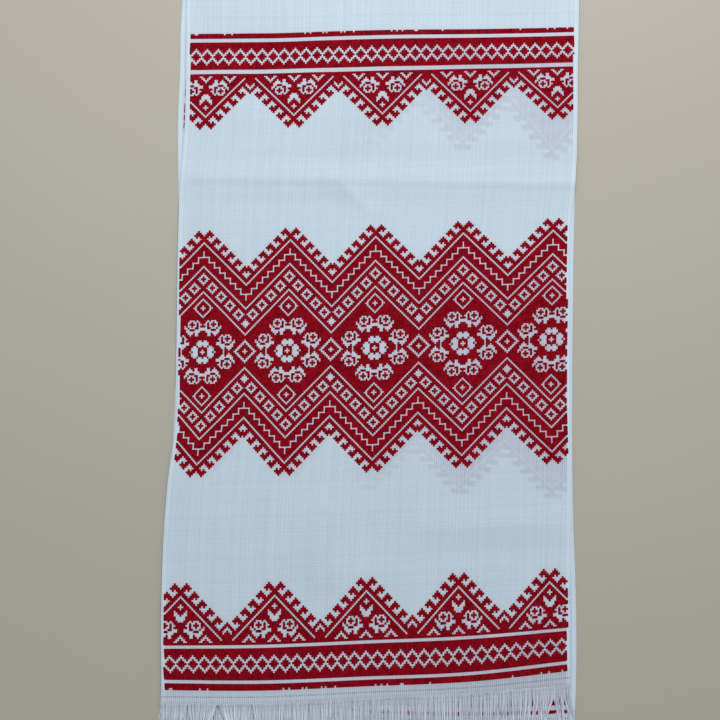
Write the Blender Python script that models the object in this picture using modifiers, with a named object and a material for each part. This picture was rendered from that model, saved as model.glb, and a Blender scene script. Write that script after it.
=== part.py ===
"""A ritual towel of white cotton, folded once across its middle and laid on a floor, its two fringed ends together.

Metres, +Z up. +X runs across the cloth and +Y runs from the fringes to the fold. The tables below hold
millimetres, measured from one point of the floor, and the finished pieces are then set so that the origin
lies under the middle of the whole.
"""

import functools
import math
import random
from collections import namedtuple

import bmesh
import bpy
import numpy as np

MM = 0.001

# The cloth, and how it lies
CLOTH_THICKNESS = 1.2
LAYER_GAP = 0.6
FOLD_Y = 400.0
FOLD_RADIUS = 2.4
FOLD_SWELL_LENGTH = 55.0

# The mesh of the folded sheet
COLUMNS = 24
LOWER_ROWS = 30
FOLD_ROWS = 10
UPPER_ROWS = 90

# The fringes
STRANDS = 90
STRAND_STEPS = 2
STRAND_SHARE = 0.62
STRAND_TAPER = 0.4
FRINGE_LENGTH = 43.0
FRINGE_SPREAD = 4.0
FRINGE_THICKNESS = 0.9
STRIP_DEPTH = 3.0
PIECE_GAP = 0.35
LOCK_WIDTH = 21.0
LOCK_PULL = 0.34
LOWER_FAN = 9.0
UPPER_FRINGE_Z = 2.1
SEED = 7

WHITE_COTTON = (0.62, 0.68, 0.76, 1.0)
COTTON_ROUGHNESS = 0.85

# A weft line of the cloth as it lies: where its two ends are, and how far up it is at five places across
Weft = namedtuple("Weft", "left right y_left y_near_left y_middle y_near_right y_right")
ACROSS = (-1.0, -0.5, 0.0, 0.5, 1.0)

UPPER_LAYER = (
    Weft(-158.0, 200.0, 400.0, 400.0, 400.0, 400.0, 400.0),  # the fold
    Weft(-157.5, 198.0, 295.8, 296.6, 298.0, 300.0, 302.5),  # first red stripe
    Weft(-157.0, 196.5, 261.3, 262.1, 263.5, 265.7, 268.6),  # white line under the first chain
    Weft(-157.0, 195.5, 219.4, 221.3, 223.0, 225.8, 229.4),  # points of the first border
    Weft(-160.5, 192.5, 155.5, 158.0, 161.5, 165.0, 168.5),  # middle of the first white field
    Weft(-161.3, 186.8, 104.0, 107.0, 110.0, 113.8, 117.8),  # upper points of the middle band
    Weft(-160.9, 184.6, 2.5, 5.5, 9.0, 12.5, 16.5),  # middle row of the middle band
    Weft(-161.5, 183.2, -69.0, -66.5, -62.5, -59.0, -55.0),  # lower part of the middle band
    Weft(-165.8, 183.1, -103.9, -102.0, -97.9, -94.3, -90.0),  # lower points of the middle band
    Weft(-168.8, 182.2, -148.0, -146.0, -143.0, -139.0, -134.5),  # middle of the second white field
    Weft(-169.8, 180.0, -204.2, -203.9, -200.2, -196.0, -191.8),  # points of the second border
    Weft(-168.6, 178.7, -280.2, -280.6, -277.3, -272.6, -264.5),  # last red stripe
    Weft(-168.8, 178.7, -293.7, -293.2, -289.2, -285.0, -278.2),  # woven edge
)
LOWER_LAYER = (
    Weft(-158.0, 200.0, 400.0, 400.0, 400.0, 400.0, 400.0),
    Weft(-162.6, 195.0, 297.0, 292.5, 289.0, 286.0, 282.5),
    Weft(-162.6, 193.5, 262.3, 256.0, 250.0, 246.0, 239.5),
    Weft(-163.6, 192.5, 220.4, 212.3, 203.5, 199.3, 189.0),
    Weft(-160.3, 188.6, 104.0, 97.5, 91.5, 88.3, 80.0),
    Weft(-163.5, 183.8, -105.9, -112.0, -114.9, -118.3, -123.0),
    Weft(-167.0, 184.6, -204.2, -211.9, -220.2, -224.0, -226.8),
    Weft(-167.5, 182.0, -279.0, -288.5, -299.0, -301.5, -299.5),
    Weft(-167.5, 181.0, -291.5, -302.0, -311.5, -314.0, -312.0),
)

# A soft crease of the upper layer: its two ends, how far it reaches to each side, and how high it stands
Crease = namedtuple("Crease", "x_start y_start x_end y_end reach height")
CREASES = (
    Crease(-150.0, 164.0, 190.0, 158.0, 13.0, 1.8),  # packing crease across the first white field
    Crease(-24.0, 164.0, 12.0, 132.0, 12.0, 1.2),
    Crease(-121.0, 150.0, -117.0, 104.0, 16.0, 1.2),
    Crease(-36.0, -138.0, -30.0, -186.0, 18.0, 1.4),
    Crease(60.0, -146.0, 165.0, -141.0, 14.0, 1.0),
)


def curve_through(places, values, at):
    """Reads a smooth curve that passes through the values, each given at its own place."""
    places = np.asarray(places, float)
    values = np.asarray(values, float)
    slopes = np.gradient(values, places)
    first = int(np.clip(np.searchsorted(places, at) - 1, 0, len(places) - 2))
    span = places[first + 1] - places[first]
    t = (at - places[first]) / span
    return (
        (2 * t**3 - 3 * t**2 + 1) * values[first]
        + (t**3 - 2 * t**2 + t) * span * slopes[first]
        + (3 * t**2 - 2 * t**3) * values[first + 1]
        + (t**3 - t**2) * span * slopes[first + 1]
    )


def ease(t):
    """Goes from 0 to 1 with no corner at either end."""
    t = min(max(t, 0.0), 1.0)
    return t * t * (3 - 2 * t)


def layer_length(layer):
    """How far the woven edge of a layer is from the fold, along the middle of the cloth."""
    return FOLD_Y - layer[-1].y_middle


@functools.cache
def weft_at(layer, from_fold):
    """The weft line of a layer that is so far from the fold."""
    distances = [FOLD_Y - weft.y_middle for weft in layer]
    return Weft(*(curve_through(distances, column, from_fold) for column in zip(*layer)))


def place_on_layer(layer, across, from_fold):
    """The x and y of a point of a layer, from -1 to 1 across it and so far from the fold."""
    weft = weft_at(layer, from_fold)
    x = weft.left + (weft.right - weft.left) * (across + 1) / 2
    return x, curve_through(ACROSS, weft[2:], across)


def crease_height(x, y):
    """How far the creases lift the upper layer at a point."""
    height = 0.0
    for crease in CREASES:
        run_x, run_y = crease.x_end - crease.x_start, crease.y_end - crease.y_start
        length = math.hypot(run_x, run_y)
        along = ((x - crease.x_start) * run_x + (y - crease.y_start) * run_y) / length
        aside = ((y - crease.y_start) * run_x - (x - crease.x_start) * run_y) / length
        past_end = max(0.0, -along, along - length)
        height += crease.height * math.exp(-(aside**2 + past_end**2) / crease.reach**2)
    return height


LOWER_MIDDLE_Z = CLOTH_THICKNESS / 2
UPPER_MIDDLE_Z = LOWER_MIDDLE_Z + CLOTH_THICKNESS + LAYER_GAP
HALF_TURN = math.pi * FOLD_RADIUS


def place_on_cloth(across, along):
    """A point midway through the cloth. It lies on the lower layer below 0, then round the fold, then on the upper."""
    if along < 0:
        x, y = place_on_layer(LOWER_LAYER, across, -along)
        return x, y, LOWER_MIDDLE_Z
    if along < HALF_TURN:
        turn = along / FOLD_RADIUS
        x, y = place_on_layer(UPPER_LAYER, across, 0.0)
        lift = FOLD_RADIUS * (1 - math.cos(turn))
        return x, y + FOLD_RADIUS * math.sin(turn), LOWER_MIDDLE_Z + lift
    from_fold = along - HALF_TURN
    x, y = place_on_layer(UPPER_LAYER, across, from_fold)
    swell = LOWER_MIDDLE_Z + 2 * FOLD_RADIUS - UPPER_MIDDLE_Z
    z = UPPER_MIDDLE_Z + swell * (1 - ease(from_fold / FOLD_SWELL_LENGTH))
    return x, y, z + crease_height(x, y) * ease(from_fold / FOLD_SWELL_LENGTH)


def row_places():
    """How far along the cloth each row of the sheet's mesh is, from the lower woven edge to the upper one."""
    lower = np.linspace(-layer_length(LOWER_LAYER), 0.0, LOWER_ROWS + 1)
    fold = np.linspace(0.0, HALF_TURN, FOLD_ROWS + 1)
    upper = np.linspace(HALF_TURN, HALF_TURN + layer_length(UPPER_LAYER), UPPER_ROWS + 1)
    return np.concatenate([lower, fold[1:], upper[1:]])


def grid_points(mesh, columns, rows):
    """Yields each vertex of a flat unit grid with its column and row."""
    for vertex in mesh.verts:
        yield vertex, round((vertex.co.x + 0.5) * columns), round((vertex.co.y + 0.5) * rows)


def give_thickness(part, thickness):
    """Gives an open surface its thickness, half to each side."""
    wall = part.modifiers.new("Thickness", "SOLIDIFY")
    wall.thickness = thickness * MM
    wall.offset = 0.0


def new_part(name, mesh, collection, material):
    """Puts a finished mesh in the scene as one named piece."""
    data = bpy.data.meshes.new(name)
    bmesh.ops.recalc_face_normals(mesh, faces=mesh.faces)
    mesh.to_mesh(data)
    mesh.free()
    data.materials.append(material)
    part = bpy.data.objects.new(name, data)
    collection.objects.link(part)
    return part


def make_towel(collection, material):
    """The whole woven length as one sheet, folded once."""
    rows = row_places()
    last_row = len(rows) - 1
    mesh = bmesh.new()
    bmesh.ops.create_grid(mesh, x_segments=COLUMNS, y_segments=last_row, size=0.5)
    for vertex, column, row in grid_points(mesh, COLUMNS, last_row):
        place = place_on_cloth(2 * column / COLUMNS - 1, rows[row])
        vertex.co = [value * MM for value in place]
    towel = new_part("towel", mesh, collection, material)
    give_thickness(towel, CLOTH_THICKNESS)
    return towel


def strand_bend(x, left, reach, fan):
    """How far a strand leans sideways at a share of its length: into its lock, and out past the corner."""
    lock_middle = (math.floor((x - left) / LOCK_WIDTH) + 0.5) * LOCK_WIDTH + left
    corner = fan * math.exp(-(x - left) / LOCK_WIDTH)
    return (lock_middle - x) * LOCK_PULL * reach**2 - corner * reach


def make_fringe(name, layer, middle_z, fan, collection, material):
    """The bare warp ends past a woven edge: a narrow strip parted from it, and the strands that lie on from it."""
    chance = random.Random(SEED)
    lengths = [FRINGE_LENGTH + FRINGE_SPREAD * chance.uniform(-1, 1) for _ in range(STRANDS)]
    woven_edge = layer_length(layer)
    left = layer[-1].left
    columns = 2 * STRANDS - 1
    mesh = bmesh.new()
    bmesh.ops.create_grid(mesh, x_segments=columns, y_segments=STRAND_STEPS + 1, size=0.5)
    spots = {vertex: (column, row) for vertex, column, row in grid_points(mesh, columns, STRAND_STEPS + 1)}
    between_strands = []
    for face in mesh.faces:
        face_columns, face_rows = zip(*(spots[vertex] for vertex in face.verts))
        if min(face_columns) % 2 == 1 and max(face_rows) <= STRAND_STEPS:
            between_strands.append(face)
    bmesh.ops.delete(mesh, geom=between_strands, context="FACES")

    def across_strand(strand, side):
        return 2 * (strand + side * STRAND_SHARE) / (STRANDS - 1 + STRAND_SHARE) - 1

    for vertex, (column, row) in spots.items():
        if not vertex.is_valid:
            continue
        strand, side = divmod(column, 2)
        x, y = place_on_layer(layer, across_strand(strand, side), woven_edge)
        middle_x, _ = place_on_layer(layer, across_strand(strand, 0.5), woven_edge)
        reach = max(0.0, 1 - row / STRAND_STEPS)
        x = middle_x + (x - middle_x) * (1 - STRAND_TAPER * reach) + strand_bend(middle_x, left, reach, fan)
        strip = 0.0 if row > STRAND_STEPS else STRIP_DEPTH
        vertex.co = (x * MM, (y - PIECE_GAP - strip - lengths[strand] * reach) * MM, middle_z * MM)
    fringe = new_part(name, mesh, collection, material)
    give_thickness(fringe, FRINGE_THICKNESS)
    return fringe


def cotton_material():
    """White cotton, with no shine."""
    material = bpy.data.materials.new("white_cotton")
    material.use_nodes = True
    shader = material.node_tree.nodes["Principled BSDF"]
    shader.inputs["Base Color"].default_value = WHITE_COTTON
    shader.inputs["Roughness"].default_value = COTTON_ROUGHNESS
    shader.inputs["Metallic"].default_value = 0.0
    return material


def centre_on_floor(parts):
    """Moves the pieces together, so that the middle of their box is over the origin."""
    bpy.context.view_layer.update()
    graph = bpy.context.evaluated_depsgraph_get()
    corners = [corner[:2] for part in parts for corner in part.evaluated_get(graph).bound_box]
    low_x, low_y = (min(values) for values in zip(*corners))
    high_x, high_y = (max(values) for values in zip(*corners))
    for part in parts:
        part.location = (-(low_x + high_x) / 2, -(low_y + high_y) / 2, 0.0)


def main():
    for old in list(bpy.data.objects):
        bpy.data.objects.remove(old, do_unlink=True)
    collection = bpy.data.collections.new("ritual_towel")
    bpy.context.scene.collection.children.link(collection)
    cotton = cotton_material()
    towel = make_towel(collection, cotton)
    lower = make_fringe("fringe_lower", LOWER_LAYER, FRINGE_THICKNESS / 2, LOWER_FAN, collection, cotton)
    upper = make_fringe("fringe_upper", UPPER_LAYER, UPPER_FRINGE_Z, 0.0, collection, cotton)
    centre_on_floor([towel, lower, upper])


main()
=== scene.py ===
"""A ritual towel of white cotton with dark red brocade, folded once and laid on a pale floor.

Metres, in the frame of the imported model. Places on the cloth are worked out in millimetres from the point
of the floor under the middle of the picture, and are then set down in the frame.
"""

import math
import random
from collections import namedtuple

import bpy
import numpy as np
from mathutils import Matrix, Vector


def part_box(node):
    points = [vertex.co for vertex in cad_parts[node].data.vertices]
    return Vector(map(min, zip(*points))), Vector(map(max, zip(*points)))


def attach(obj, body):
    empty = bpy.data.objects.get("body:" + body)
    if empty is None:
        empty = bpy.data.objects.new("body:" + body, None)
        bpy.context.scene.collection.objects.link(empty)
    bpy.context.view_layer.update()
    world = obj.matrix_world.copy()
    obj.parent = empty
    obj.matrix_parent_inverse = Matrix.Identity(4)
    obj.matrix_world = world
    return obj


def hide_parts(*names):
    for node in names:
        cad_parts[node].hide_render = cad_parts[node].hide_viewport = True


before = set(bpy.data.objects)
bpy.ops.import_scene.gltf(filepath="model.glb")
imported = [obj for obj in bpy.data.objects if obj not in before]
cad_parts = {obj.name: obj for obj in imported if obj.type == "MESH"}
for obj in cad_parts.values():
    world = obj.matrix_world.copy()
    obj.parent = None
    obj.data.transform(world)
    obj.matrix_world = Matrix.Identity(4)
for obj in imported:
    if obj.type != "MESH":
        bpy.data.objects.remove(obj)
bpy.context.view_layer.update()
bpy.ops.object.select_all(action="DESELECT")

# The cloth. One length of white cotton in plain weave, 350 mm wide with its two narrow stitched hems. It is
# folded once across its middle, face outward, and lies with the end that is on top a little short of the
# end beneath, which peeps out at both sides.
MM = 0.001
CLOTH_WIDTH = 350.0
CLOTH_THICKNESS = 0.8
SOLID_THICKNESS = 1.2
HEM_WIDTH = 4.0
HEM_THICKNESS = 1.1
HEM_EDGE_ROUND = 0.45
FOLD_Y = 400.0
FOLD_RADIUS = 2.4
HALF_TURN = math.pi * FOLD_RADIUS
FOLD_SWELL_LENGTH = 55.0
LOWER_MIDDLE_Z = 0.63
UPPER_MIDDLE_Z = 2.4
GRID_STEP = 3.3
LOWER_GRID_STEP = 6.0
EDGE_STEP = 0.5
HEM_STEP = 0.4
FOLD_STEPS = 12

# Where the ends of a weft line are, and how far up it is at five places across
Weft = namedtuple("Weft", "left right y_left y_near_left y_middle y_near_right y_right")
ACROSS = (-1.0, -0.5, 0.0, 0.5, 1.0)
UPPER_LAYER = (
    Weft(-158.0, 200.0, 400.0, 400.0, 400.0, 400.0, 400.0),  # the fold
    Weft(-157.5, 198.0, 295.6, 296.5, 299.4, 300.1, 302.3),  # first red stripe
    Weft(-157.0, 196.5, 261.9, 262.8, 265.3, 267.1, 269.2),  # white line under the first chain
    Weft(-157.0, 195.5, 219.4, 221.3, 223.0, 225.8, 229.4),  # points of the first border
    Weft(-160.5, 192.5, 155.5, 158.0, 161.5, 165.0, 168.5),  # middle of the first white field
    Weft(-161.3, 186.8, 103.4, 106.8, 110.0, 113.5, 116.4),  # upper points of the middle band
    Weft(-160.9, 184.6, 6.2, 7.7, 10.3, 14.7, 18.6),  # middle row of the middle band
    Weft(-161.5, 183.2, -66.4, -64.5, -62.5, -57.7, -55.0),  # lower part of the middle band
    Weft(-165.8, 183.1, -102.4, -101.2, -97.9, -93.7, -90.0),  # lower points of the middle band
    Weft(-168.8, 182.2, -148.0, -146.0, -143.0, -139.0, -134.5),  # middle of the second white field
    Weft(-169.8, 180.0, -205.4, -204.3, -200.2, -196.0, -191.8),  # points of the second border
    Weft(-169.4, 179.4, -248.2, -247.4, -243.8, -240.1, -232.9),  # white line under the second chain
    Weft(-168.6, 178.7, -280.2, -280.6, -277.2, -273.5, -264.2),  # last red stripe
    Weft(-168.8, 178.7, -295.0, -294.8, -290.5, -286.6, -279.2),  # woven edge
)
LOWER_LAYER = (
    Weft(-158.0, 200.0, 400.0, 400.0, 400.0, 400.0, 400.0),
    Weft(-162.6, 195.0, 297.0, 292.5, 289.0, 286.0, 282.5),
    Weft(-162.6, 193.5, 262.3, 256.0, 250.0, 246.0, 239.5),
    Weft(-163.6, 192.5, 220.4, 212.3, 203.5, 199.3, 189.0),
    Weft(-160.3, 188.6, 104.0, 97.5, 91.5, 88.3, 80.0),
    Weft(-163.5, 183.8, -105.9, -112.0, -114.9, -118.3, -123.0),
    Weft(-167.0, 184.6, -204.2, -211.9, -220.2, -224.0, -226.8),
    Weft(-167.5, 182.0, -279.0, -288.5, -299.0, -301.5, -299.5),
    Weft(-167.5, 181.0, -291.5, -302.0, -311.5, -314.0, -312.0),
)

# A soft crease of the layer on top: its two ends, how far it reaches to each side, and how high it stands
Crease = namedtuple("Crease", "x_start y_start x_end y_end reach height")
CREASES = (
    Crease(-150.0, 164.0, 190.0, 158.0, 13.0, 1.8),  # packing crease across the first white field
    Crease(-24.0, 164.0, 12.0, 132.0, 12.0, 1.2),
    Crease(-121.0, 150.0, -117.0, 104.0, 16.0, 1.2),
    Crease(-36.0, -138.0, -30.0, -186.0, 18.0, 1.4),
    Crease(60.0, -146.0, 165.0, -141.0, 14.0, 1.0),
)
# The creases that are too sharp for the solids: a furrow has a height below nought
FINE_CREASES = (
    Crease(-150.0, 163.0, 190.0, 157.0, 2.2, 0.55),
    Crease(-150.0, 158.5, 190.0, 152.5, 3.2, -0.45),
    Crease(-22.0, 163.0, 8.0, 134.0, 2.4, 0.5),
    Crease(-64.0, 163.0, -54.0, 150.0, 2.4, -0.4),
    Crease(-119.0, 158.0, -113.0, 110.0, 5.0, -0.35),
    Crease(-34.0, -134.0, -32.0, -184.0, 4.5, -0.4),
    Crease(58.0, -148.0, 165.0, -143.0, 4.0, 0.25),
)
WAVE_COUNT = 14
WAVE_LENGTHS = (45.0, 150.0)
WAVE_HEIGHT = 0.11
DEEPEST_FURROW = -0.4


def curve_through(places, values, at):
    """Reads smooth curves, each a row of values given at the same places, where the rows of at say."""
    places = np.asarray(places, float)
    slopes = np.gradient(values, places, axis=-1)
    first = np.clip(np.searchsorted(places, at) - 1, 0, len(places) - 2)
    span = places[first + 1] - places[first]
    t = (at - places[first]) / span
    start = np.take_along_axis(values, first, axis=-1)
    end = np.take_along_axis(values, first + 1, axis=-1)
    start_slope = np.take_along_axis(slopes, first, axis=-1) * span
    end_slope = np.take_along_axis(slopes, first + 1, axis=-1) * span
    return (
        (2 * t**3 - 3 * t**2 + 1) * start
        + (t**3 - 2 * t**2 + t) * start_slope
        + (3 * t**2 - 2 * t**3) * end
        + (t**3 - t**2) * end_slope
    )


def weft_ends_and_heights(layer, from_fold):
    """Reads the layer's table at each distance from the fold: left and right ends, then the five heights."""
    columns = np.array(layer).T
    distances = FOLD_Y - columns[4]
    return curve_through(distances, columns, np.broadcast_to(from_fold, (len(columns), len(from_fold))))


def y_on_layer(layer, x, from_fold):
    """How far up the picture the cloth is at x on a weft line, and where that is from -1 to 1 across it."""
    left, right, *heights = weft_ends_and_heights(layer, from_fold)
    across = 2 * (x - left) / (right - left) - 1
    return curve_through(ACROSS, np.array(heights).T, across[:, None])[:, 0], across


def place_on_layer(layer, across, from_fold):
    """The x and y of points of a layer, from -1 to 1 across it and so far from the fold."""
    left, right, *_ = weft_ends_and_heights(layer, from_fold)
    x = left + (right - left) * (across + 1) / 2
    return x, y_on_layer(layer, x, from_fold)[0]


def ease(t):
    """Goes from 0 to 1 with no corner at either end."""
    t = np.clip(t, 0.0, 1.0)
    return t * t * (3 - 2 * t)


def crease_height(creases, x, y):
    """How far some creases lift the cloth at each point."""
    height = np.zeros_like(x)
    for crease in creases:
        run_x, run_y = crease.x_end - crease.x_start, crease.y_end - crease.y_start
        length = math.hypot(run_x, run_y)
        along = ((x - crease.x_start) * run_x + (y - crease.y_start) * run_y) / length
        aside = ((y - crease.y_start) * run_x - (x - crease.x_start) * run_y) / length
        past_end = np.maximum(0.0, np.maximum(-along, along - length))
        height += crease.height * np.exp(-(aside**2 + past_end**2) / crease.reach**2)
    return height


def wave_height(x, y):
    """The slight unevenness of cloth that was ironed and has been handled since."""
    chance = random.Random(5)
    height = np.zeros_like(x)
    for _ in range(WAVE_COUNT):
        length = chance.uniform(*WAVE_LENGTHS)
        turn = chance.uniform(0, math.pi)
        start = chance.uniform(0, 2 * math.pi)
        along = x * math.cos(turn) + y * math.sin(turn)
        height += WAVE_HEIGHT * np.sin(2 * math.pi * along / length + start)
    return height


def height_of_upper_layer(x, y, from_fold):
    """The middle of the cloth on top: level, swelling towards the fold, with its creases and waves."""
    swell = LOWER_MIDDLE_Z + 2 * FOLD_RADIUS - UPPER_MIDDLE_Z
    past_fold = ease(from_fold / FOLD_SWELL_LENGTH)
    relief = crease_height(CREASES, x, y) + crease_height(FINE_CREASES, x, y) + wave_height(x, y)
    return UPPER_MIDDLE_Z + swell * (1 - past_fold) + np.maximum(relief, DEEPEST_FURROW) * past_fold


def set_down(x, y, z):
    """Turns millimetres from under the picture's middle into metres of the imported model's frame."""
    towel_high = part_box("towel")[1]
    shift_x = towel_high.x - UPPER_LAYER[0].right * MM
    shift_y = towel_high.y - (FOLD_Y + FOLD_RADIUS + SOLID_THICKNESS / 2) * MM
    return np.stack([x * MM + shift_x, y * MM + shift_y, z * MM], axis=-1)


def only(piece):
    """Makes one piece the one that the operators act on."""
    bpy.ops.object.select_all(action="DESELECT")
    piece.select_set(True)
    bpy.context.view_layer.objects.active = piece


def new_grid(name, columns, rows):
    """A flat unit grid of so many columns and rows."""
    bpy.ops.mesh.primitive_grid_add(x_subdivisions=columns, y_subdivisions=rows, size=1)
    piece = bpy.context.object
    piece.name = piece.data.name = name
    return piece


def grid_spots(piece, columns, rows):
    """The column and row of each point of a grid that is still flat."""
    spots = np.empty(len(piece.data.vertices) * 3)
    piece.data.vertices.foreach_get("co", spots)
    spots = spots.reshape(-1, 3) + 0.5
    return np.rint(spots[:, 0] * columns).astype(int), np.rint(spots[:, 1] * rows).astype(int)


def shape_piece(piece, points, u, v):
    """Puts a mesh's points in place. Its UV map keeps their millimetres across and along the cloth."""
    mesh = piece.data
    mesh.vertices.foreach_set("co", points.ravel())
    corners = np.empty(len(mesh.loops), int)
    mesh.loops.foreach_get("vertex_index", corners)
    weave = mesh.uv_layers[0]
    weave.name = "weave"
    weave.data.foreach_set("uv", np.stack([u[corners], v[corners]], axis=-1).ravel())
    mesh.update()


def thicken(piece, thickness, by_group=""):
    """Gives a surface its thickness, half to each side, and points all its faces outward."""
    only(piece)
    wall = piece.modifiers.new("Thickness", "SOLIDIFY")
    wall.thickness = thickness * MM
    wall.offset = 0.0
    wall.vertex_group = by_group
    bpy.ops.object.modifier_apply(modifier=wall.name)
    bpy.ops.object.mode_set(mode="EDIT")
    bpy.ops.mesh.select_all(action="SELECT")
    bpy.ops.mesh.normals_make_consistent(inside=False)
    bpy.ops.object.mode_set(mode="OBJECT")


def layer_length(layer):
    """How far a layer's woven edge is from the fold, along the middle of the cloth."""
    return FOLD_Y - layer[-1].y_middle


class Wire:
    """A value on its way through a material. Sums on it add the Math nodes that work them out."""

    def __init__(self, finish, socket):
        self.finish = finish
        self.socket = socket

    def math(self, operation, *values):
        return self.finish.node("ShaderNodeMath", {"operation": operation}, *values)

    def __add__(self, other):
        return self.math("ADD", self, other)

    def __radd__(self, other):
        return self.math("ADD", other, self)

    def __sub__(self, other):
        return self.math("SUBTRACT", self, other)

    def __rsub__(self, other):
        return self.math("SUBTRACT", other, self)

    def __mul__(self, other):
        return self.math("MULTIPLY", self, other)

    def __rmul__(self, other):
        return self.math("MULTIPLY", other, self)

    def __truediv__(self, other):
        return self.math("DIVIDE", self, other)

    def __lt__(self, other):
        return self.math("LESS_THAN", self, other)

    def __gt__(self, other):
        return self.math("GREATER_THAN", self, other)

    def __abs__(self):
        return self.math("ABSOLUTE", self)

    def __floor__(self):
        return self.math("FLOOR", self)

    def below(self, limit):
        """Goes from 1 to 0 within about one unit as the value passes a limit."""
        return self.finish.node(
            "ShaderNodeMath", {"operation": "MULTIPLY_ADD", "use_clamp": True}, self, -0.9, 0.9 * limit + 0.5
        )

    def wave(self, length):
        """Swings from -1 to 1 once in each length."""
        return self.math("SINE", self * (2 * math.pi / length))


class Finish:
    """A material being made: its nodes, and the shader that they end in."""

    def __init__(self, name):
        self.material = bpy.data.materials.new(name)
        self.material.use_nodes = True
        self.tree = self.material.node_tree
        self.shader = self.tree.nodes["Principled BSDF"]

    def node(self, kind, settings, *values, output=0):
        """Adds any node: its type, its settings, and its sockets' values or wires, by place or by name."""
        made = self.tree.nodes.new(kind)
        for name, value in settings.items():
            setattr(made, name, value)
        named = values[0] if values and isinstance(values[0], dict) else dict(enumerate(values))
        for place, value in named.items():
            self.join(value, made.inputs[place])
        return Wire(self, made.outputs[output])

    def join(self, value, socket):
        """Links a wire to a socket, or sets a plain value on it."""
        if isinstance(value, Wire):
            self.tree.links.new(value.socket, socket)
        else:
            socket.default_value = value

    def set(self, **sockets):
        """Sets or links the shader's own sockets."""
        for name, value in sockets.items():
            self.join(value, self.shader.inputs[name.replace("_", " ")])

    def across_and_along(self):
        """Millimetres across and along the cloth, from the piece's own UV map."""
        weave = self.node("ShaderNodeUVMap", {"uv_map": "weave"})
        parts = self.node("ShaderNodeSeparateXYZ", {}, weave)
        return parts, Wire(self, parts.socket.node.outputs[1])

    def spot(self, u, v):
        """Two values as one place."""
        return self.node("ShaderNodeCombineXYZ", {}, u, v)

    def noise(self, place, scale, detail=2.0):
        return self.node("ShaderNodeTexNoise", {}, {"Vector": place, "Scale": scale, "Detail": detail})

    def kept(self, name):
        """A value that was kept on the mesh's points."""
        return self.node("ShaderNodeAttribute", {"attribute_name": name}, output=2)

    def chance(self, place):
        """A value from 0 to 1 that is the same all over each whole number of the place."""
        return self.node("ShaderNodeTexWhiteNoise", {"noise_dimensions": "3D"}, place)

    def mix(self, share, first, second):
        """One colour going over into another."""
        values = {0: share, 6: first, 7: second}
        return self.node("ShaderNodeMix", {"data_type": "RGBA"}, values, output=2)

    def brighten(self, colour, factor):
        """A colour times a value."""
        if not isinstance(colour, Wire):
            colour = colour[:3]
        return self.node("ShaderNodeVectorMath", {"operation": "SCALE"}, {0: colour, 3: factor})

    def bump(self, height, distance):
        """Fine relief of so many metres that only the light sees."""
        return self.node("ShaderNodeBump", {}, {"Height": height, "Distance": distance, "Strength": 1.0})


COTTON_WHITE = (0.574, 0.685, 0.789, 1.0)
SHOW_THROUGH_LILAC = (0.38, 0.33, 0.46, 1.0)
SHOW_THROUGH_SHARE = 0.26
# The red that tints white cloth: partly red weft behind it, partly painted red light bounced off the red
# cells near it
RED_BEHIND_AND_BOUNCED = (0.50, 0.13, 0.24, 1.0)
THREAD = 0.82
REED = 1.64

# The warps of one repeat of the brocade's pattern
REPEAT = 48

# How far from each woven edge a weft is left out, where the shade beneath, seen between the warps, is painted
# in as dark, and how far in from that edge the cloth is looser
OPEN_ROW_FROM_EDGE = 5.6
SECOND_ROW_FROM_EDGE = 1.4
OPEN_ROW_HALF = 0.6
LOOSE_FROM_EDGE = 12.5

# How much lighter or darker the cotton is made by the reed, the rows, single threads, slubs, clouds and hems
REED_TONE = 0.045
ROW_TONE = 0.028
WARP_TONE = 0.065
WEFT_TONE = 0.045
SLUB_TONE = 0.05
CLOUD_TONE = 0.06
HEM_TONE = 0.09
STITCH_TONE = 0.07
# How dark the painted shade is where the shade beneath shows through the open rows and between the warps of
# the looser cloth, and how red the red beneath seen there is
OPEN_ROW_PAINTED_SHADE = 0.75
SECOND_ROW_PAINTED_SHADE = 0.35
LOOSE_PAINTED_SHADE = 0.11
LOOSE_RED = 0.05
STITCH_PITCH = 2.6
STITCH_HALF = 0.35

# The hooks of the pattern that shows through: four warps each, with the rows where foot, stem and tip end
HOOK_WARPS = 4.0
HOOK_FOOT = 2.0
HOOK_STEM = 3.8
HOOK_TIP = 6.5
LINE_PALER = 0.6


def pattern_beneath(finish):
    """How red the layer beneath is: solid within its thin line, and hooked past it."""
    warp = finish.kept("warp_beneath")
    aside = abs(warp - REPEAT * (warp / REPEAT + 0.5).__floor__())
    past_line = aside + finish.kept("past_line_beneath")
    on_hook = aside - 1.0 - HOOK_WARPS * ((aside - 0.5) / HOOK_WARPS).__floor__()
    past_hook = past_line - on_hook
    solid = past_hook.below(HOOK_FOOT)
    stem = on_hook.below(0.5) * past_hook.below(HOOK_STEM)
    tip = (past_hook.below(HOOK_TIP) - past_hook.below(HOOK_STEM)) * (aside > 0.5)
    return solid * (1.0 - abs(past_line).below(0.5) * LINE_PALER) + (1.0 - solid) * stem + tip


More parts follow.
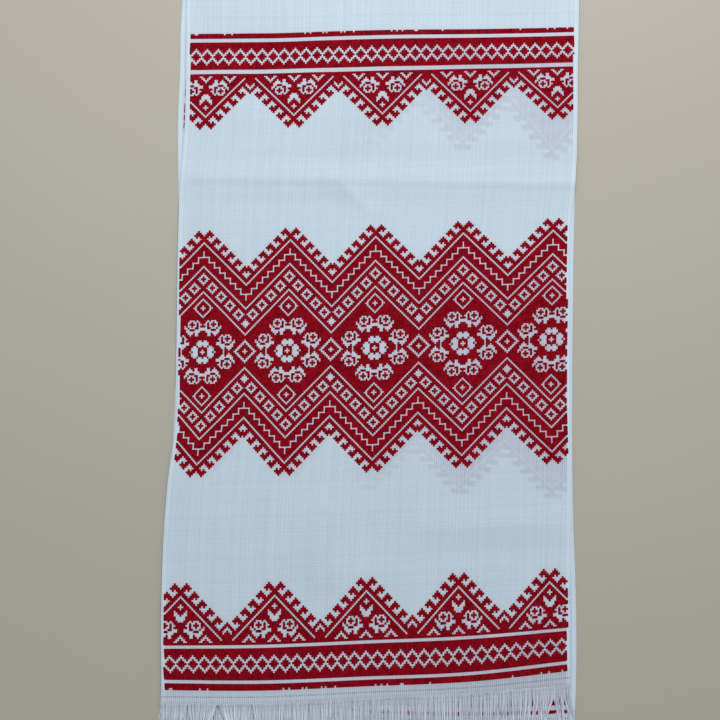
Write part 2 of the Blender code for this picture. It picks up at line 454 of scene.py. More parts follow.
def cotton_cloth():
    """White cotton in plain weave: two threads to each dent of the reed, no two threads quite alike."""
    finish = Finish("white_cotton")
    u, v = finish.across_and_along()
    warp_chance = finish.chance(finish.spot((u / THREAD).__floor__(), 3.0))
    weft_chance = finish.chance(finish.spot((v / THREAD).__floor__(), 7.0))
    slubs = finish.noise(finish.spot(u / 2.0, v / 40.0), 1.0)
    clouds = finish.noise(finish.spot(u, v), 0.016, 3.0)
    reed_lines = u.wave(REED) * REED_TONE * (0.5 + clouds)
    row_lines = v.wave(REED) * ROW_TONE
    threads = (warp_chance - 0.5) * WARP_TONE + (weft_chance - 0.5) * WEFT_TONE
    uneven = (slubs - 0.5) * SLUB_TONE + (clouds - 0.5) * CLOUD_TONE
    shade = 1.0 + reed_lines + row_lines + threads + uneven
    stitch_row = abs(abs(u - CLOTH_WIDTH / 2) - (CLOTH_WIDTH / 2 - HEM_WIDTH)) < STITCH_HALF
    stitches = stitch_row * (v.wave(STITCH_PITCH) > -0.2)
    hem = abs(u - CLOTH_WIDTH / 2) > CLOTH_WIDTH / 2 - HEM_WIDTH
    cloth_middle = (HALF_TURN + layer_length(UPPER_LAYER) - layer_length(LOWER_LAYER)) / 2
    cloth_half = (HALF_TURN + layer_length(UPPER_LAYER) + layer_length(LOWER_LAYER)) / 2
    to_woven_edge = cloth_half - abs(v - cloth_middle)
    between_warps = u.wave(REED) < 0.3
    patches = finish.noise(finish.spot(u / 9.0, v / 9.0), 1.0)
    open_row = (abs(to_woven_edge - OPEN_ROW_FROM_EDGE) < OPEN_ROW_HALF) * between_warps * patches
    second_row = (abs(to_woven_edge - SECOND_ROW_FROM_EDGE) < OPEN_ROW_HALF) * between_warps * patches
    loose = to_woven_edge < LOOSE_FROM_EDGE
    broken_up = (0.3 + slubs * 1.4) * (0.5 + patches) * (0.7 + between_warps * 0.6)
    through = pattern_beneath(finish) * finish.kept("closeness") * broken_up
    # How red the white is from the red nearby in its own layer: partly red weft behind it, partly painted red
    # light bounced off that red
    behind = finish.kept("red_behind_and_bounced")
    colour = finish.mix(through * (1.0 - hem) * SHOW_THROUGH_SHARE, COTTON_WHITE, SHOW_THROUGH_LILAC)
    colour = finish.mix(behind * (1.0 - hem) + loose * LOOSE_RED, colour, RED_BEHIND_AND_BOUNCED)
    # Painted shade: the open rows and the gaps between the warps near the woven edges are darkened for the
    # shade beneath them
    painted_shade_in_gaps = open_row * OPEN_ROW_PAINTED_SHADE + second_row * SECOND_ROW_PAINTED_SHADE + loose * between_warps * LOOSE_PAINTED_SHADE
    shade = shade * (1.0 + hem * HEM_TONE) * (1.0 - stitches * STITCH_TONE) * (1.0 - painted_shade_in_gaps)
    colour = finish.brighten(colour, shade)
    weave = u.wave(THREAD) * v.wave(THREAD) + stitches * -1.2
    finish.set(Base_Color=colour, Roughness=0.86, Normal=finish.bump(weave, 0.00006))
    finish.shader.inputs["Sheen Weight"].default_value = 0.12
    finish.shader.inputs["Specular IOR Level"].default_value = 0.25
    return finish.material


edge_columns = np.array([0.0, EDGE_STEP, HEM_WIDTH - HEM_STEP, HEM_WIDTH + HEM_STEP]) / CLOTH_WIDTH
inner_columns = np.linspace(edge_columns[-1], 1 - edge_columns[-1], round(CLOTH_WIDTH / GRID_STEP))
column_places = 2 * np.concatenate([edge_columns[:-1], inner_columns, 1 - edge_columns[-2::-1]]) - 1
lower_rows = np.linspace(-layer_length(LOWER_LAYER), 0.0, round(layer_length(LOWER_LAYER) / LOWER_GRID_STEP))
fold_rows = np.linspace(0.0, HALF_TURN, FOLD_STEPS)
upper_length = layer_length(UPPER_LAYER)
upper_rows = np.linspace(HALF_TURN, HALF_TURN + upper_length, round(upper_length / GRID_STEP))
row_places = np.concatenate([lower_rows, fold_rows[1:], upper_rows[1:]])

cloth = new_grid("towel_cloth", len(column_places) - 1, len(row_places) - 1)
column, row = grid_spots(cloth, len(column_places) - 1, len(row_places) - 1)
across, along = column_places[column], row_places[row]
lower_x, lower_y = place_on_layer(LOWER_LAYER, across, np.maximum(-along, 0.0))
from_fold = np.maximum(along - HALF_TURN, 0.0)
upper_x, upper_y = place_on_layer(UPPER_LAYER, across, from_fold)
turn = np.clip(along / FOLD_RADIUS, 0.0, math.pi)
is_lower, is_upper = along < 0, along >= HALF_TURN
cloth_x = np.where(is_lower, lower_x, upper_x)
cloth_y = np.where(is_lower, lower_y, upper_y + FOLD_RADIUS * np.sin(turn))
cloth_z = np.where(is_lower, LOWER_MIDDLE_Z, LOWER_MIDDLE_Z + FOLD_RADIUS * (1 - np.cos(turn)))
cloth_z = np.where(is_upper, height_of_upper_layer(upper_x, upper_y, from_fold), cloth_z)
shape_piece(cloth, set_down(cloth_x, cloth_y, cloth_z), (across + 1) / 2 * CLOTH_WIDTH, along)

# The hems are doubled cloth, and thin out to a rounded edge
fullness = cloth.vertex_groups.new(name="fullness")
from_edge = (1 - np.abs(across)) / 2 * CLOTH_WIDTH
thickness = np.where(from_edge < HEM_WIDTH, HEM_THICKNESS, CLOTH_THICKNESS)
thickness = np.where(from_edge < EDGE_STEP / 2, HEM_EDGE_ROUND, thickness)
for size in np.unique(thickness):
    fullness.add(np.flatnonzero(thickness == size).tolist(), float(size / HEM_THICKNESS), "REPLACE")
thicken(cloth, HEM_THICKNESS, by_group="fullness")
bpy.ops.object.shade_smooth_by_angle(angle=math.radians(50))
cloth.data.materials.append(cotton_cloth())

# The brocade. Red cotton weft laid in with the white and beaten into the cloth, a cell at a time, so that it
# stands a little proud on both faces. Its charts repeat every 48 warps and turn back on themselves at
# every point and valley, so half a repeat of each is drawn: a warp is counted from the nearest point.
POINTS = 5
BROCADE_THICKNESS = 1.15
MIDDLE_POINT_ROW = 60
BORDER_POINT_ROW = 24

# How far, in cells, the plump red spreads over the white, and how far it is parted where only the corners of
# two white cells touch, if most cells about them are red. Then how much of the last row is left ragged
SPREAD = 0.19
PARTED_BY = 0.16
MOST_CELLS = 8
RAGGED_SHARE = 0.09

# One hook of the saw edge that steps down each flank, four warps wide, from two rows above its tip. # is red
HOOK = ("#...", "....", "..#.", ".###", "####", "##.#", "#...", "##..", "###.")
# A rose and its leaves beside the warp of a point, from two rows above its middle. o is white
ROSE = (
    "...o.ooo...",
    "..o.oo.oo..",
    ".oo.o...o..",
    "..o.oo.oo.o",
    "ooo..ooo.oo",
    "ooooo...oo.",
    "..oooooooo.",
    "...oo.ooo..",
    "...oo..o...",
)
ROSE_LEFT = -6
ROSE_TOP = 2
# One quarter of the eight-petalled rosette, from its middle row upward
ROSETTE = ("oo.ooo.o", "o..oooo.", "...oooo.", ".oo.oo..", "oooo....", "oooo....", ".oo.....")
# The house-shaped leaf over a point, from the row that is nearest the chain
LEAF = ("oo..", "ooo.", "ooo.", ".ooo", "..oo", "...o")
LEAF_ROW = 12


def on_chart(chart, column, row, mark):
    """Whether a chart has a mark in a cell. Past its edges it has none."""
    return 0 <= row < len(chart) and 0 <= column < len(chart[row]) and chart[row][column] == mark


def hook_is_red(warp, above):
    """The saw edge outside the thin line, by rows above the line's own point."""
    if warp == 0:
        return above <= 3
    hook, column = divmod(warp - 1, 4)
    below_tip = 6 - 4 * hook - above
    if hook == 0 and below_tip < 0:
        return False
    return below_tip > 6 or on_chart(HOOK, column, below_tip + 2, "#")


def rose_is_white(warp, row, rose_warp, rose_row):
    """A rose that has its middle in a given cell."""
    return on_chart(ROSE, warp - rose_warp - ROSE_LEFT, ROSE_TOP - (row - rose_row), "o")


def middle_is_red(warp, row):
    """The middle band, by rows from its middle row. Its lower half mirrors its upper half."""
    row = abs(row)
    line = warp + row
    if line > MIDDLE_POINT_ROW:
        return hook_is_red(warp, row - MIDDLE_POINT_ROW)
    if line in (MIDDLE_POINT_ROW, 47, 33):
        return False
    if line > 47:
        step, past = divmod(warp, 3)
        on_tread = row in (52 - 3 * step, 55 - 3 * step) and (past == 0 or row == 52 - 3 * step)
        on_riser = past == 0 and step > 0 and row in (53 - 3 * step, 54 - 3 * step)
        on_tick = (warp == 0 and 53 <= row <= 54) or (warp == 24 and 28 <= row <= 30)
        past_last = step == 8 and row != 31
        return not ((on_tread and not past_last) or (on_riser and step < 8) or on_tick)
    if line > 33:
        for square in range(5):
            if 2 <= abs(warp - 5 * square) + abs(row - 40 + 5 * square) <= 3:
                return False
        return abs(warp - 24) + abs(row - 15) > 2
    from_lozenge = warp + abs(row - 24)
    if from_lozenge in (0, 1, 5) or (row == 24 and warp == 4):
        return False
    from_side = 24 - warp + row
    if from_side in (0, 1, 5, 6):
        return False
    # The roses beside a valley meet stem to stem, and the stems are one warp wide there
    if row < 2 and warp in (11, 12):
        return warp == 11
    if rose_is_white(warp, row, 6, 15) or rose_is_white(warp, row, 14, 7):
        return False
    return not on_chart(ROSETTE, warp, row, "o")


def chevron_is_white(aside, below_tip):
    """A small broad-lined V, by warps beside its tip and rows behind it."""
    return (below_tip, aside) in ((0, 0), (1, 0), (1, 1), (2, 1), (2, 2), (3, 2), (3, 3))


def valley_is_white(aside, below_tip):
    """The V in each valley of an end border, its feet a warp shorter."""
    return aside < 3 and chevron_is_white(aside, below_tip)


def border_is_red(warp, row):
    """An end border, by rows from its white line towards its points, with chain and stripe behind it."""
    if row <= 0:
        if row > -3 or row in (-18, -19):
            return False
        if row <= -20:
            return True
        from_middle = abs(row + 10)
        aside = min(warp % 6, 6 - warp % 6)
        return not (from_middle + aside in (3, 4) or (aside == 3 and from_middle < 2))
    if valley_is_white(24 - warp, 9 - row):
        return False
    line = warp + row
    if line > BORDER_POINT_ROW:
        if warp > 21 or (warp == 21 and row < 12):
            return row <= warp - 13
        return hook_is_red(warp, row - BORDER_POINT_ROW)
    if line == BORDER_POINT_ROW:
        return warp > 21
    if chevron_is_white(warp, 5 - row) or chevron_is_white(abs(warp - 13), 5 - row):
        return False
    if row > 3 and rose_is_white(warp, row, 8, 10):
        return False
    if on_chart(LEAF, warp, row - LEAF_ROW, "o"):
        return False
    return warp + abs(row - 19) > 1


# Where a band's rows lie, as heights along the middle of the cloth; where the warps of its five points run,
# at some of those rows; how many warps it goes on for beyond the outer two; its first and last row; and how
# many millimetres at each side of the cloth stay white
Band = namedtuple(
    "Band", "name on_top is_red rows heights point_rows point_x left_warps right_warps first last selvedge"
)
BORDER_ROWS = (24.0, 0.5, -2.5, -5.5, -14.5, -17.5, -19.5, -22.5)
BANDS = (
    Band(
        "first",
        True,
        border_is_red,
        BORDER_ROWS,
        (223.0, 263.0, 267.5, 271.4, 287.6, 293.0, 297.3, 301.4),
        (24.0, 0.5, -10.0),
        (
            (-138.5, -59.4, 20.1, 99.0, 177.4),
            (-138.6, -59.1, 20.4, 99.4, 177.9),
            (-138.0, -58.5, 20.4, 99.4, 177.9),
        ),
        12,
        12,
        -22,
        30,
        4.2,
    ),
    Band(
        "middle",
        True,
        middle_is_red,
        (60.0, 0.0, -66.0),
        (110.0, 10.3, -97.7),
        (60.0, 0.0, -35.0, -66.0),
        (
            (-137.9, -61.6, 14.0, 91.6, 171.3),
            (-138.0, -63.8, 12.7, 90.2, 167.8),
            (-137.8, -64.5, 11.6, 89.0, 166.2),
            (-142.2, -65.8, 10.3, 87.9, 166.6),
        ),
        15,
        12,
        -66,
        66,
        2.8,
    ),
    Band(
        "last",
        True,
        border_is_red,
        BORDER_ROWS,
        (-200.1, -241.4, -244.5, -249.9, -266.1, -271.4, -274.8, -279.6),
        (24.0, 0.5, -10.0),
        (
            (-153.3, -72.9, 5.5, 84.2, 162.2),
            (-153.0, -73.0, 5.0, 84.0, 162.0),
            (-151.6, -73.0, 5.0, 84.0, 162.0),
        ),
        12,
        12,
        -22,
        30,
        2.8,
    ),
    Band(
        "first",
        False,
        border_is_red,
        BORDER_ROWS,
        (203.5, 248.3, 254.0, 259.7, 276.7, 282.4, 286.2, 291.9),
        (24.0, 0.5),
        ((-153.6, -72.1, 9.9, 91.9, 171.4), (-152.6, -71.1, 10.9, 92.9, 172.4)),
        2,
        9,
        -22,
        30,
        4.2,
    ),
    Band(
        "middle",
        False,
        middle_is_red,
        (60.0, 0.0, -66.0),
        (91.5, -7.0, -114.9),
        (60.0, -66.0),
        ((-150.8, -73.5, 6.0, 86.0, 166.0), (-154.4, -75.7, 3.0, 80.9, 160.8)),
        2,
        10,
        -66,
        66,
        4.2,
    ),
    Band(
        "last",
        False,
        border_is_red,
        BORDER_ROWS,
        (-220.2, -261.3, -266.5, -272.1, -288.8, -294.4, -299.3, -301.6),
        (24.0, 0.5),
        ((-156.5, -77.5, 1.5, 80.5, 159.5), (-157.5, -78.5, 0.5, 79.5, 158.5)),
        2,
        10,
        -22,
        30,
        4.2,
    ),
)


def straight_through(places, values, at):
    """Reads straight runs between values, or rows of them, that go on past the ends at the last slope."""
    places, values = np.asarray(places, float), np.asarray(values, float)
    if places[0] > places[-1]:
        places, values = places[::-1], values[::-1]
    first = np.clip(np.searchsorted(places, at) - 1, 0, len(places) - 2)
    share = (at - places[first]) / (places[first + 1] - places[first])
    own = np.arange(len(at)) if values.ndim > 1 else 0
    values = values.reshape(len(places), -1)
    return values[first, own] * (1 - share) + values[first + 1, own] * share


def warp_x(band, warps, rows):
    """Where warps of a band run, by their number from the first point and the row."""
    point_warps = np.arange(POINTS) * REPEAT
    runs = [straight_through(point_warps, run, warps) for run in band.point_x]
    return straight_through(band.point_rows, runs, rows)


def cell_is_red(band, warp, row):
    """Whether a cell of the whole width is red, folding it back into half a repeat."""
    in_repeat = warp % REPEAT
    return band.is_red(min(in_repeat, REPEAT - in_repeat), row)


def red_cells(band):
    """A band's chart at full width, a row of the array for each row of the band."""
    warps = range(-band.left_warps, (POINTS - 1) * REPEAT + band.right_warps + 1)
    rows = range(band.first, band.last + 1)
    red = np.array([[cell_is_red(band, warp, row) for warp in warps] for row in rows])
    if band.is_red is border_is_red:
        chance = random.Random(3)
        red[0] = [chance.random() > RAGGED_SHARE for _ in warps]
    return red


def spread_at_corners(red):
    """How far each corner of the cells is pushed sideways and upward by the plump red beside it."""
    around = np.pad(red.astype(float), 1)
    low_left, low_right = around[:-1, :-1], around[:-1, 1:]
    high_left, high_right = around[1:, :-1], around[1:, 1:]
    sideways = (low_left + high_left - low_right - high_right) / 2
    upward = (low_left + low_right - high_left - high_right) / 2
    return sideways * SPREAD, upward * SPREAD


def white_runs_through(red):
    """The corners where two red cells meet only point to point, and the thin line between them is white."""
    around = np.pad(red.astype(int), 2)
    high, wide = red.shape[0] + 1, red.shape[1] + 1
    block = sum(around[down : down + high, over : over + wide] for down in range(4) for over in range(4))
    low_left, high_left = around[1 : 1 + high, 1 : 1 + wide], around[2 : 2 + high, 1 : 1 + wide]
    low_right, high_right = around[1 : 1 + high, 2 : 2 + wide], around[2 : 2 + high, 2 : 2 + wide]
    crossed = (low_left == high_right) & (high_left == low_right) & (low_left != low_right)
    return crossed & (block > MOST_CELLS)


def lay_on_cloth(on_top, x, from_fold):
    """Points on the middle surface of a layer, and their own millimetres across the cloth."""
    y, across = y_on_layer(UPPER_LAYER if on_top else LOWER_LAYER, x, from_fold)
    z = height_of_upper_layer(x, y, from_fold) if on_top else np.full_like(x, LOWER_MIDDLE_Z)
    return set_down(x, y, z), (across + 1) / 2 * CLOTH_WIDTH


def face_middles(piece, columns, rows):
    """Where the middle of each face of a flat grid is, counted in columns and rows."""
    middles = np.empty(len(piece.data.polygons) * 3)
    piece.data.polygons.foreach_get("center", middles)
    return (middles.reshape(-1, 3)[:, :2] + 0.5) * (columns, rows)


def toward_own_cell(piece, column, row, columns, rows):
    """For each point of a grid, which way its own cells lie from it, in half cells."""
    corners = np.empty(len(piece.data.loops), int)
    piece.data.loops.foreach_get("vertex_index", corners)
    centres = np.repeat(face_middles(piece, columns, rows), 4, axis=0)
    ways = np.zeros((len(column), 2))
    np.add.at(ways, corners, 2 * (centres - np.stack([column, row], axis=-1)[corners]))
    return ways / np.maximum(np.bincount(corners, minlength=len(column)), 1)[:, None]


def weave_band(name, band):
    """The red of one band on one layer: a cell for each crossing, the white ones taken out."""
    red = red_cells(band)
    rows, columns = red.shape
    warps = np.tile(np.arange(columns) - band.left_warps, rows)
    band_rows = np.repeat(np.arange(rows) + band.first, columns)
    from_fold = FOLD_Y - straight_through(band.rows, band.heights, band_rows)
    u = lay_on_cloth(band.on_top, warp_x(band, warps, band_rows), from_fold)[1]
    red &= (np.abs(u - CLOTH_WIDTH / 2) < CLOTH_WIDTH / 2 - band.selvedge).reshape(rows, columns)
    piece = new_grid(name, columns, rows)
    face_column, face_row = face_middles(piece, columns, rows).astype(int).T
    piece.data.polygons.foreach_set("select", ~red[face_row, face_column])
    bpy.context.tool_settings.mesh_select_mode = (False, False, True)
    bpy.ops.object.mode_set(mode="EDIT")
    bpy.ops.mesh.delete(type="FACE")
    bpy.ops.mesh.select_mode(type="VERT")
    bpy.ops.object.mode_set(mode="OBJECT")
    column, row = grid_spots(piece, columns, rows)
    parted = white_runs_through(red)
    piece.data.vertices.foreach_set("select", parted[row, column])
    bpy.ops.object.mode_set(mode="EDIT")
    bpy.ops.mesh.edge_split(type="VERT")
    bpy.ops.object.mode_set(mode="OBJECT")
    column, row = grid_spots(piece, columns, rows)
    back = toward_own_cell(piece, column, row, columns, rows) * parted[row, column][:, None] * PARTED_BY
    sideways, upward = spread_at_corners(red)
    warps = column - band.left_warps - 0.5 + sideways[row, column] + back[:, 0]
    band_rows = row + band.first - 0.5 + upward[row, column] + back[:, 1]
    from_fold = FOLD_Y - straight_through(band.rows, band.heights, band_rows)
    points, u = lay_on_cloth(band.on_top, warp_x(band, warps, band_rows), from_fold)
    shape_piece(piece, points, u, from_fold)
    thicken(piece, BROCADE_THICKNESS)
    return piece


RED_COTTON = (0.330, 0.0030, 0.0130, 1.0)
RED_IN_SHADE = (0.130, 0.0010, 0.0050, 1.0)


def red_yarn():
    """Dark red cotton weft: plump ridges along each row, bound down by the warp in every cell."""
    finish = Finish("dark_red_cotton")
    u, v = finish.across_and_along()
    cell_chance = finish.chance(finish.spot((u / REED).__floor__(), (v / REED).__floor__()))
    clouds = finish.noise(finish.spot(u, v), 0.09, 3.0)
    ridges = v.wave(THREAD)
    bindings = u.wave(REED)
    # The darker red comes in at random by cell and cloud, and as painted shade in the grooves between the
    # ridges and at the bindings
    dark = cell_chance * 0.8 + (clouds - 0.5) * 0.8 - ridges * 0.12 - bindings * 0.10
    colour = finish.mix(dark, RED_COTTON, RED_IN_SHADE)
    finish.set(Base_Color=colour, Roughness=0.85, Normal=finish.bump(ridges + bindings * 0.6, 0.0001))
    finish.shader.inputs["Specular IOR Level"].default_value = 0.05
    return finish.material


red_material = red_yarn()
brocade = []
for band in BANDS:
    piece = weave_band(f"brocade_{band.name}_{'upper' if band.on_top else 'lower'}", band)
    piece.data.materials.append(red_material)
    brocade.append(piece)

# The red that shows through. The layer on top lies close on the one beneath at the right, and its red comes
# through there as a faint shadow. The white of either layer is tinted by the red nearby in its own layer:
# partly red weft running behind it, partly painted red light bounced off the red cells round it.
SHOW_THROUGH_START = -60.0
SHOW_THROUGH_END = 120.0
RED_BEHIND_AND_BOUNCED_SHARE = 0.26
BLUR = 1.8
FAR_PAST = 99.0
STRIPE_FADE = 6
STRIPE_PAST = 8


def fold_distance(layer, x, y):
    """How far from the fold, along the middle of the cloth, points of the picture are on a layer."""
    from_fold = FOLD_Y - y
    for _ in range(4):
        from_fold = from_fold + y_on_layer(layer, x, from_fold)[0] - y
    return from_fold


def red_share(on_top, x, y):
    """How much of the cloth close round each point of the picture is red, in one of the layers."""
    layer = UPPER_LAYER if on_top else LOWER_LAYER
    charts = [(band, red_cells(band)) for band in BANDS if band.on_top == on_top]
    share = np.zeros(len(x))
    steps = (-BLUR, 0.0, BLUR)
    for step_x in steps:
        for step_y in steps:
            height = FOLD_Y - fold_distance(layer, x + step_x, y + step_y)
            for band, cells in charts:
                row = straight_through(band.heights, band.rows, height)
                column = straight_through(band.point_x[0], np.arange(POINTS) * REPEAT, x + step_x)
                row = np.rint(row).astype(int) - band.first
                column = np.rint(column).astype(int) + band.left_warps
                inside = (row >= 0) & (row < cells.shape[0]) & (column >= 0) & (column < cells.shape[1])
                share[inside] += cells[row[inside], column[inside]] / len(steps) ** 2
    return share


def place_in_pattern_beneath(x, y):
    """The warp of the nearest band beneath, and how many rows a place is past that band's point."""
    height = FOLD_Y - fold_distance(LOWER_LAYER, x, y)
    warp, past_line = np.zeros(len(x)), np.full(len(x), FAR_PAST)
    for band in BANDS:
        if band.on_top:
            continue
        row = straight_through(band.heights, band.rows, height)
        if band.is_red is middle_is_red:
            past = np.abs(row) - MIDDLE_POINT_ROW
        else:
            past_stripe = (band.first - 0.5 - row) * STRIPE_FADE + STRIPE_PAST
            past = np.maximum(row - BORDER_POINT_ROW, past_stripe)
        nearer = past < past_line
        band_warp = straight_through(band.point_x[0], np.arange(POINTS) * REPEAT, x)
        warp = np.where(nearer, band_warp, warp)
        past_line = np.where(nearer, past, past_line)
    return warp, past_line


def keep_on_points(piece, name, values):
    """Keeps a value for each point of a mesh, for its material to read."""
    kept = piece.data.attributes.new(name, "FLOAT", "POINT")
    kept.data.foreach_set("value", values)


spots = np.empty(len(cloth.data.vertices) * 3)
cloth.data.vertices.foreach_get("co", spots)
spots = (spots.reshape(-1, 3) - set_down(0.0, 0.0, 0.0)) / MM
closeness = ease((spots[:, 0] - SHOW_THROUGH_START) / (SHOW_THROUGH_END - SHOW_THROUGH_START))
is_top = spots[:, 2] > (LOWER_MIDDLE_Z + UPPER_MIDDLE_Z) / 2
beneath, within = (red_share(on_top, spots[:, 0], spots[:, 1]) for on_top in (False, True))
warp_beneath, past_line_beneath = place_in_pattern_beneath(spots[:, 0], spots[:, 1])
keep_on_points(cloth, "closeness", closeness * is_top)
keep_on_points(cloth, "warp_beneath", warp_beneath)
keep_on_points(cloth, "past_line_beneath", past_line_beneath)
# The tint from each layer's own red nearby: partly red weft behind the white, partly painted red light
# bounced off the red cells
keep_on_points(cloth, "red_behind_and_bounced", np.where(is_top, within, beneath) * RED_BEHIND_AND_BOUNCED_SHARE)

# The fringes. The bare warp ends past each woven edge, combed straight but gathered here and there into
# locks. The fringe on top lies over the end beneath, and its own end drops to the floor.
THREADS = 640
THREAD_STEPS = 8
THREAD_SIDES = 3
THREAD_RADIUS = 0.36
THREAD_TAPER = 0.35
ROOT_SCATTER = 0.3
ROOT_ON_CLOTH = (0.3, 1.8)
ROOT_REACH = 5.0
ROOT_STAND = 0.75
THREAD_LIFT = 0.7
SWAY = 0.5
SWAY_PHASES = 6.28
SWAY_WAVES = 5
DROP_RATE = 1.6
FRINGE_LENGTH = 43.0
FRINGE_SPREAD = 5.0
STRIP_DEPTH = 3.0
LOCK_WIDTH = 21.0
LOCK_PULL = 0.22
LOCK_SCATTER = 1.2
PARTING_DEPTH = 15.0
PARTING_ROUNDING = 0.75
PARTING_REACH = 9.0
PARTING_LIMIT = 1.5

# Where the fringe on top parts: the place across the picture, how far down the threads it starts, and how
# wide it stands open one parting depth further on
Parting = namedtuple("Parting", "x start width")
PARTINGS = (
    Parting(-152.7, 3.0, 2.5),
    Parting(-146.2, 3.0, 5.0),
    Parting(-120.0, 3.0, 15.0),
    Parting(-91.5, 3.0, 6.0),
    Parting(-57.5, 3.0, 3.5),
    Parting(-43.5, 3.0, 3.0),
    Parting(150.5, 17.0, 5.0),
    Parting(164.2, 13.0, 10.5),
    Parting(172.6, 13.5, 4.5),
)
FRINGE_WHITE = (0.78, 0.85, 0.96)


def fringe_cotton():
    """The same cotton unwoven: soft, slightly shiny threads, a little greyer near their roots, where shade is
    painted on.
    """
    finish = Finish("fringe_cotton")
    u, v = finish.across_and_along()
    thread_chance = finish.chance(finish.spot(u.__floor__(), 5.0))
    twist = finish.noise(finish.spot(u * 3.0, v / 6.0), 1.0)
    # Painted shade: the threads are made darker over their first few millimetres from the woven edge
    painted_shade_at_root = v.below(4.0) * 0.21 + v.below(7.0) * 0.07
    colour = finish.brighten(FRINGE_WHITE, 0.94 - painted_shade_at_root + thread_chance * 0.14 + (twist - 0.5) * 0.16)
    finish.set(Base_Color=colour, Roughness=0.8, Normal=finish.bump(twist, 0.00008))
    finish.shader.inputs["Sheen Weight"].default_value = 0.15
    finish.shader.inputs["Specular IOR Level"].default_value = 0.25
    return finish.material


def comb_fringe(name, layer, root_z, tip_z, fan, partings, seed):
    """The threads of one end: three-sided tubes, each bent into its lock and lifted over its neighbours."""
    chance = random.Random(seed)
    points, faces, u, v = [], [], [], []
    left = layer[-1].left
    woven_edge = np.array([layer_length(layer)])
    for thread in range(THREADS):
        across = 2 * (thread + 0.5 + chance.uniform(-ROOT_SCATTER, ROOT_SCATTER)) / THREADS - 1
        root_x, root_y = (float(place[0]) for place in place_on_layer(layer, np.array([across]), woven_edge))
        lock_middle = (math.floor((root_x - left) / LOCK_WIDTH) + 0.5) * LOCK_WIDTH + left
        pull = (lock_middle - root_x) * LOCK_PULL + chance.gauss(0, LOCK_SCATTER)
        corner = fan * math.exp(-(root_x - left) / LOCK_WIDTH)
        length = STRIP_DEPTH + FRINGE_LENGTH + FRINGE_SPREAD * chance.uniform(-1, 1)
        sway = chance.gauss(0, SWAY)
        phase = chance.uniform(0, SWAY_PHASES)
        lift = chance.uniform(0, THREAD_LIFT)
        start = chance.uniform(*ROOT_ON_CLOTH)
        for step in range(THREAD_STEPS + 1):
            reach = step / THREAD_STEPS
            swaying = sway * math.sin(phase + SWAY_WAVES * reach) * reach
            x = root_x + pull * reach**2 - corner * reach + swaying
            for parting in partings:
                aside = root_x - parting.x
                depth = max(length * reach - parting.start, 0.0) / PARTING_DEPTH
                opening = min(depth, PARTING_LIMIT) ** PARTING_ROUNDING
                x += math.copysign(parting.width / 2, aside) * opening * math.exp(-abs(aside) / PARTING_REACH)
            y = root_y + start - length * reach
            on_face = max(0.0, 1.0 - length * reach / ROOT_REACH)
            drop = float(ease(reach * DROP_RATE))
            z = root_z + (tip_z - root_z) * drop + lift * (0.3 + 0.7 * reach) + ROOT_STAND * on_face
            radius = THREAD_RADIUS * (1 - THREAD_TAPER * reach)
            for side in range(THREAD_SIDES):
                angle = 2 * math.pi * side / THREAD_SIDES + math.pi / 2
                points.append((x + radius * math.cos(angle), y, z + radius * math.sin(angle)))
                u.append(thread + 0.5)
                v.append(length * reach)
        first = thread * (THREAD_STEPS + 1) * THREAD_SIDES
        for step in range(THREAD_STEPS):
            ring = first + step * THREAD_SIDES
            for side in range(THREAD_SIDES):
                a, b = ring + side, ring + (side + 1) % THREAD_SIDES
                faces.append((a, b, b + THREAD_SIDES, a + THREAD_SIDES))
        last = first + THREAD_STEPS * THREAD_SIDES
        faces.append((first + 2, first + 1, first))
        faces.append((last, last + 1, last + 2))
    mesh = bpy.data.meshes.new(name)
    mesh.from_pydata([(0, 0, 0)] * len(points), [], faces)
    mesh.uv_layers.new(name="weave")
    piece = bpy.data.objects.new(name, mesh)
    bpy.context.collection.objects.link(piece)
    shape_piece(piece, set_down(*np.array(points).T), np.array(u), np.array(v))
    only(piece)
    bpy.ops.object.shade_smooth()
    return piece


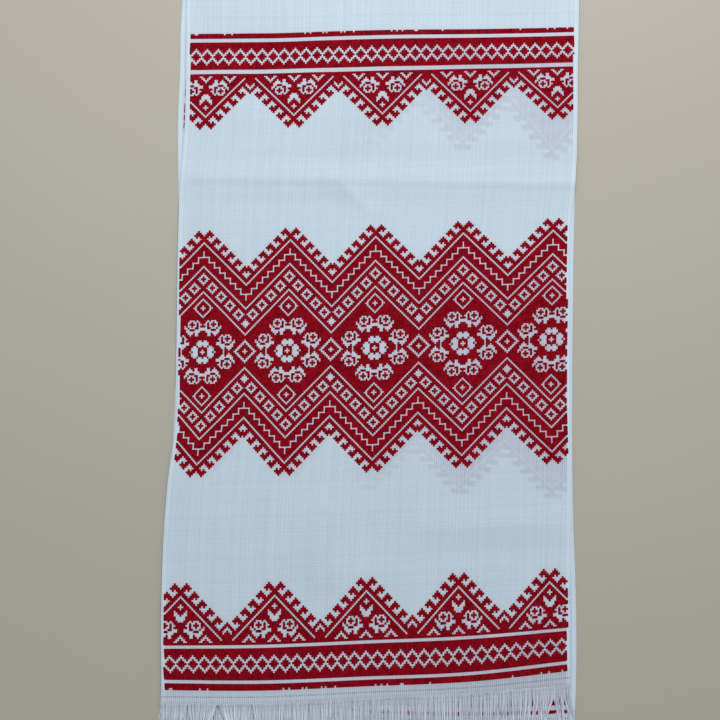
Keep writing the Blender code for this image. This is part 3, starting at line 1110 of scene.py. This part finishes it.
fringe_material = fringe_cotton()
fringe_lower = comb_fringe(
    "warp_fringe_lower", LOWER_LAYER, root_z=0.55, tip_z=0.4, fan=9.0, partings=(), seed=11
)
fringe_upper = comb_fringe(
    "warp_fringe_upper", UPPER_LAYER, root_z=2.1, tip_z=1.6, fan=0.0, partings=PARTINGS, seed=23
)
for fringe in (fringe_lower, fringe_upper):
    fringe.data.materials.append(fringe_material)

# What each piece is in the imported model
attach(cloth, "root")
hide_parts("towel")
for piece in brocade:
    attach(piece, "root")
    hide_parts("towel")
for fringe, node in ((fringe_lower, "fringe_lower"), (fringe_upper, "fringe_upper")):
    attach(fringe, "root")
    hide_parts(node)

# The floor, plain and pale
FLOOR_SIZE = 6.0
FLOOR_COLOUR = (0.435, 0.41, 0.345, 1.0)


def floor_paint():
    finish = Finish("pale_floor")
    place = finish.node("ShaderNodeTexCoord", {}, output=3)
    clouds = finish.noise(place, 3.0)
    colour = finish.brighten(FLOOR_COLOUR, 0.97 + clouds * 0.06)
    finish.set(Base_Color=colour, Roughness=0.6)
    return finish.material


bpy.ops.mesh.primitive_plane_add(size=FLOOR_SIZE, location=(0, 0, 0))
floor = bpy.context.object
floor.name = "floor"
floor.data.materials.append(floor_paint())

# Soft cool daylight from all round, and a broad lamp a little to one side
world = bpy.data.worlds.new("daylight")
bpy.context.scene.world = world
world.use_nodes = True
world.node_tree.nodes["Background"].inputs["Color"].default_value = (0.93, 0.97, 1.0, 1.0)
world.node_tree.nodes["Background"].inputs["Strength"].default_value = 0.44
bpy.ops.object.light_add(type="AREA", location=(0.12, 1.05, 1.35))
lamp = bpy.context.object
lamp.name = "window_light"
lamp.data.size = 0.8
lamp.data.energy = 20.0
lamp.data.color = (1.0, 0.985, 0.96)
lamp.rotation_euler = (-lamp.location).to_track_quat("-Z", "Y").to_euler()
bpy.context.scene.view_settings.view_transform = "Standard"

# The camera hangs over the towel, tilted a little from straight down
CAMERA_TILT = math.radians(8.5)
CAMERA_DISTANCE = 1303.0
CAMERA_LENS = 74.3
bpy.ops.object.camera_add(rotation=(CAMERA_TILT, 0, 0))
camera = bpy.context.object
camera.name = "camera"
camera.data.lens = CAMERA_LENS
camera_back = CAMERA_DISTANCE * math.sin(CAMERA_TILT)
camera_height = CAMERA_DISTANCE * math.cos(CAMERA_TILT)
camera.location = set_down(0.0, -camera_back, camera_height)
bpy.context.scene.camera = camera
